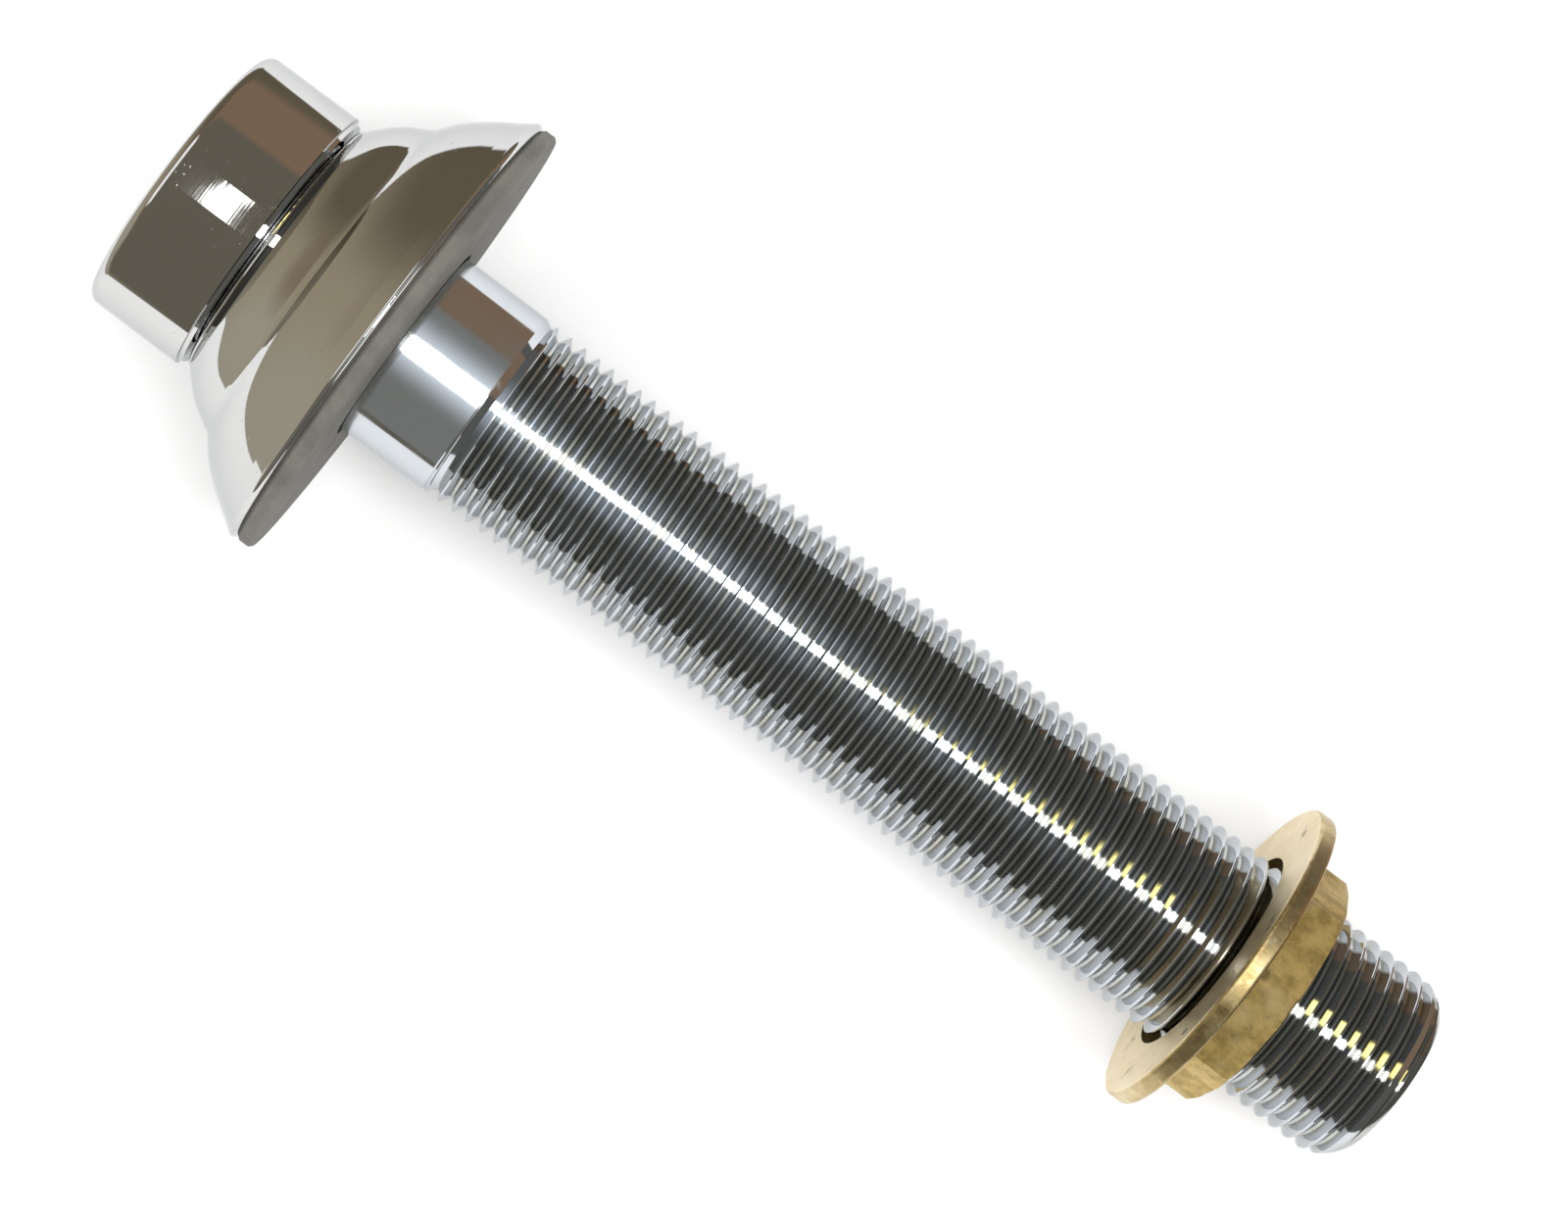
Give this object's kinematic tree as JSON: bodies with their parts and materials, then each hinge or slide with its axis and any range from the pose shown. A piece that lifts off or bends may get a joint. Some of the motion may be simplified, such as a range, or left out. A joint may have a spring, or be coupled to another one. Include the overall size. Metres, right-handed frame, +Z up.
{
  "type": "thru hull fitting",
  "caption": "Chrome-plated threaded shank for a hull wall, with a swivelling front collar, bell escutcheon and gasket, and a brass washer and lock nut on its thread.",
  "frame": {"origin": "on the shank's axis, in the gasket's face that seats on the hull", "axes": "+X along the axis from the head outside the hull to the threaded tail inside it, +Z up"},
  "size_m": [0.1579, 0.054, 0.0539],
  "materials": {
    "shank_chrome": "plated over turned brass",
    "polished_chrome": "polished plate",
    "black_rubber": "matte",
    "spring_steel": "blued spring steel",
    "grey_rubber": "matte",
    "raw_brass": "unplated, as machined"
  },
  "bodies": {
    "shank": {"shank_body": "shank_chrome", "retaining_ring": "spring_steel", "coupling_seal": "black_rubber"},
    "collar": {"coupling_nut": "polished_chrome"},
    "bell": {"bell_flange": "polished_chrome", "hull_gasket": "grey_rubber"},
    "washer": {"thrust_washer": "raw_brass"},
    "nut": {"lock_nut": "raw_brass"}
  },
  "joints": [
    {"name": "collar_spin", "type": "hinge", "parent": "shank", "child": "collar", "pos_m": [-0.023, 0, 0], "axis": [1, 0, 0], "continuous": true},
    {"name": "bell_slide", "type": "slide", "parent": "shank", "child": "bell", "axis": [1, 0, 0], "range_m": [0, 0.0125]},
    {"name": "washer_slide", "type": "slide", "parent": "shank", "child": "washer", "axis": [1, 0, 0], "range_m": [-0.09072, 0.01452]},
    {"name": "nut_spin", "type": "hinge", "parent": "washer", "child": "nut", "pos_m": [0.1075, 0, 0], "axis": [1, 0, 0], "range_deg": [-18000, 2880]}
  ],
  "couplings": [
    {"joint": "washer_slide", "follows": "nut_spin", "m_per_rad": 0.00028875}
  ]
}
